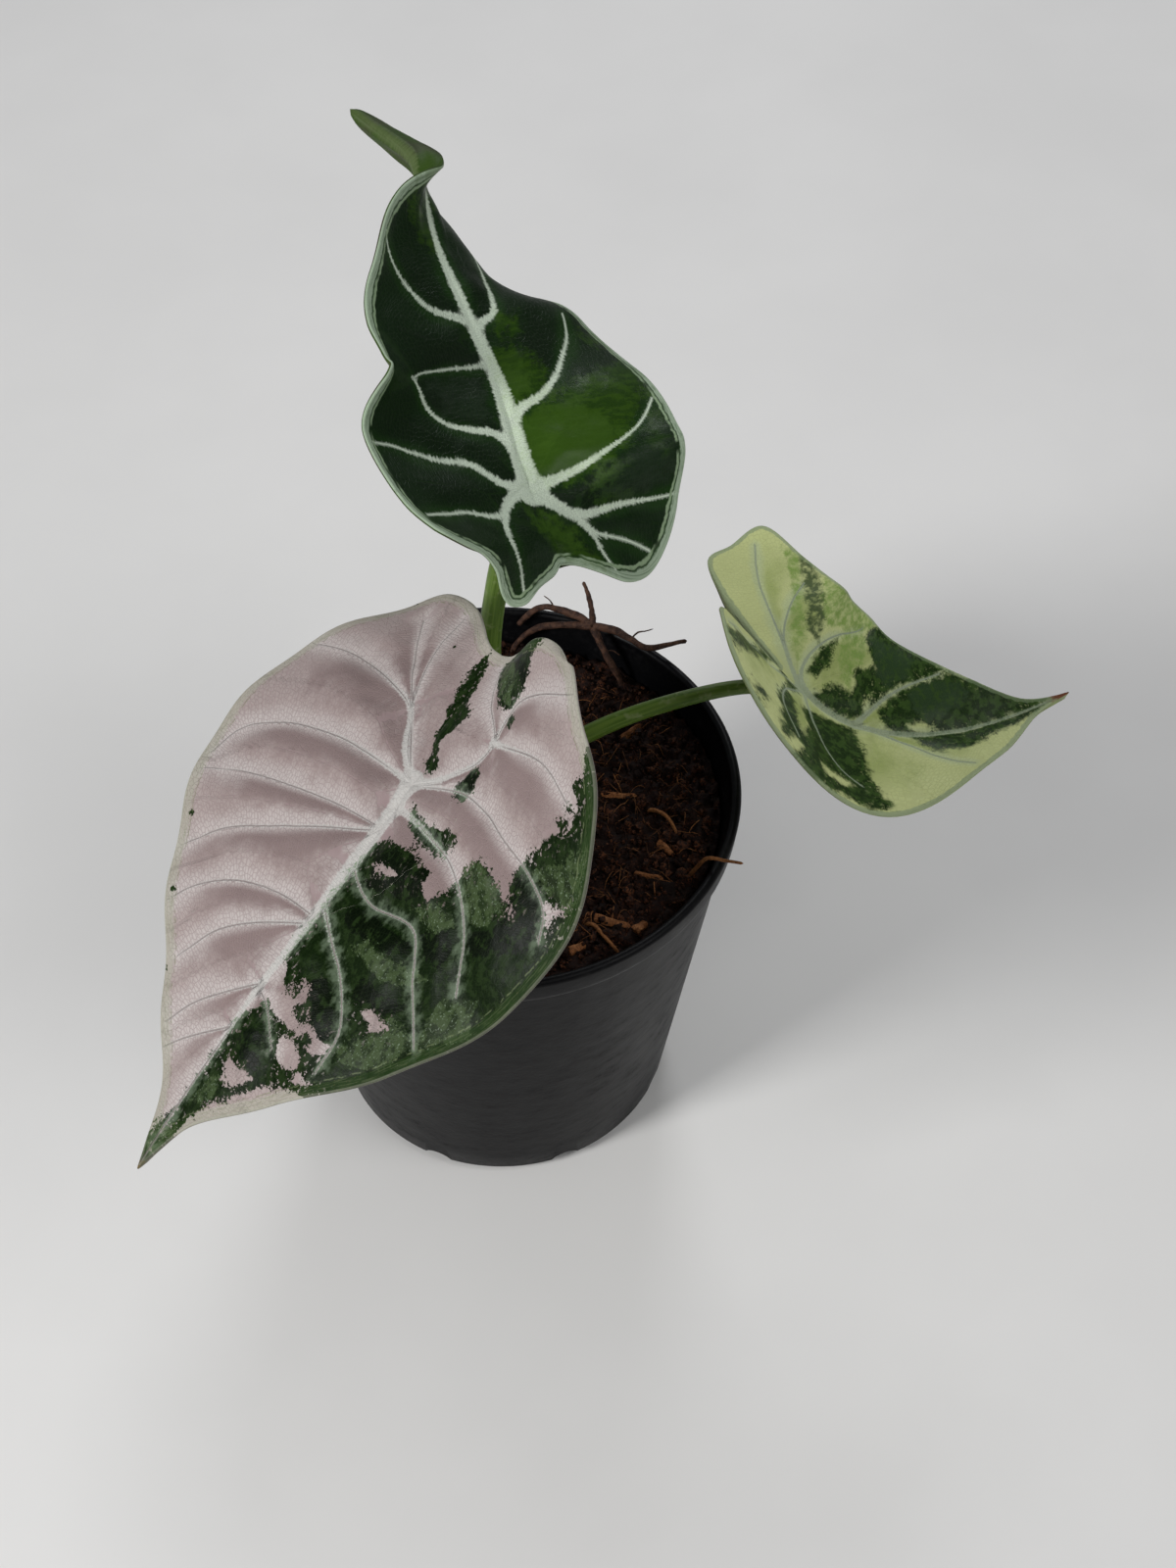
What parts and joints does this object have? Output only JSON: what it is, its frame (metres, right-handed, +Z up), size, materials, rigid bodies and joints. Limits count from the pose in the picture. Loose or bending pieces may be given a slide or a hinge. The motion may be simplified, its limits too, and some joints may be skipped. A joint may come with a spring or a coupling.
{
  "type": "potted alocasia watsoniana plant",
  "caption": "Young aroid house plant with heart-shaped, pale-veined, cream-variegated blades on slim stalks, rooted in bark mix in a round plastic nursery pot.",
  "frame": {"origin": "centre of the pot's flat base, on the pot's axis", "axes": "+Z up along the pot's axis, +Y away from the viewer of the picture, +X to the viewer's right"},
  "size_m": [0.1763, 0.1743, 0.1987],
  "materials": {
    "pot_plastic": "black moulded nursery pot, satin, lightly dusted",
    "soil": "damp dark red-brown coir and bark mix",
    "dry_root": "dry matt root",
    "stalk": "smooth green leaf stalk, soft sheen",
    "blade_front": "pinkish white and green leaf, satin",
    "blade_back": "near-black green leaf with mint veins, glossy",
    "blade_right": "cream and green leaf, satin"
  },
  "bodies": {
    "root": {"pot": "pot_plastic", "soil": "soil", "dry_root": "dry_root", "petiole_front": "stalk", "petiole_back": "stalk", "petiole_right": "stalk", "blade_front": "blade_front", "blade_back": "blade_back", "blade_right": "blade_right"}
  },
  "joints": []
}
